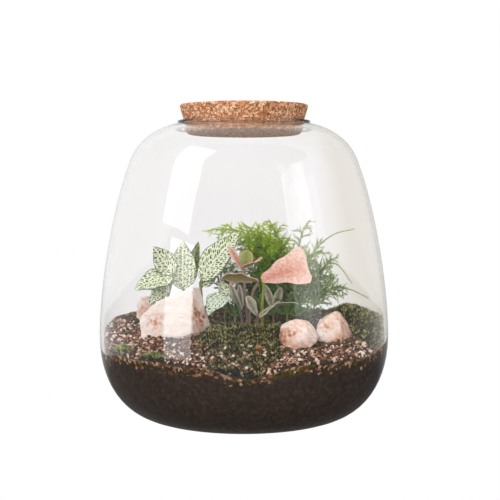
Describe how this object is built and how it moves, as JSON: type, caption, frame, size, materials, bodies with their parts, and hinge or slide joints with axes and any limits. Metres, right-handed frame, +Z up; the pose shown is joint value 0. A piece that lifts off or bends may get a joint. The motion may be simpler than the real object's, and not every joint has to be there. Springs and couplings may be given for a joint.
{
  "type": "glass plant terrarium",
  "caption": "Closed glass jar terrarium with a tapered cork stopper, planted with netted, pink and feathery green plants over dark soil, moss, gravel and pale stones.",
  "frame": {"origin": "centre of the jar's flat base, on the surface that it stands on", "axes": "+Z up along the jar's axis; the planting's front, where the soil is lowest, faces -Y; +X is to the right seen from the front"},
  "size_m": [0.25, 0.25, 0.269],
  "materials": {
    "glass": "polished",
    "cork": "matte",
    "soil": "matte",
    "stone": "satin",
    "white_pebble": "satin",
    "orange_pebble": "satin",
    "gravel": "matte",
    "moss": "matte",
    "netted_leaf": "satin",
    "pink_leaf": "satin",
    "silver_leaf": "satin",
    "fern": "satin"
  },
  "bodies": {
    "root": {"glass_jar": "glass", "cork_stopper": "cork", "soil": "soil", "stone_slab": "stone", "stone_back": "stone", "stone_round": "stone", "stone_angular": "stone", "moss_carpet": "moss", "moss_left_high": "moss", "moss_left_low": "moss", "moss_right": "moss", "pebble_white_left": "white_pebble", "pebble_white_right": "white_pebble", "pebble_orange": "orange_pebble", "gravel_left": "gravel", "gravel_front": "gravel", "gravel_right": "gravel", "mosaic_stem_left": "netted_leaf", "mosaic_stem_tall": "netted_leaf", "mosaic_stem_right": "netted_leaf", "mosaic_stem_low": "netted_leaf", "pink_leaf_broad": "pink_leaf", "pink_leaf_left": "pink_leaf", "pink_leaf_pair": "pink_leaf", "pink_leaf_low": "silver_leaf", "silver_leaves_left": "silver_leaf", "silver_leaves_right": "silver_leaf", "fern_frond_left": "fern", "fern_frond_crown": "fern", "fern_frond_back": "fern", "fern_frond_right": "fern", "fern_frond_outer": "fern", "fern_frond_low": "fern", "fern_frond_near": "fern", "fern_frond_inner": "fern"}
  },
  "joints": []
}
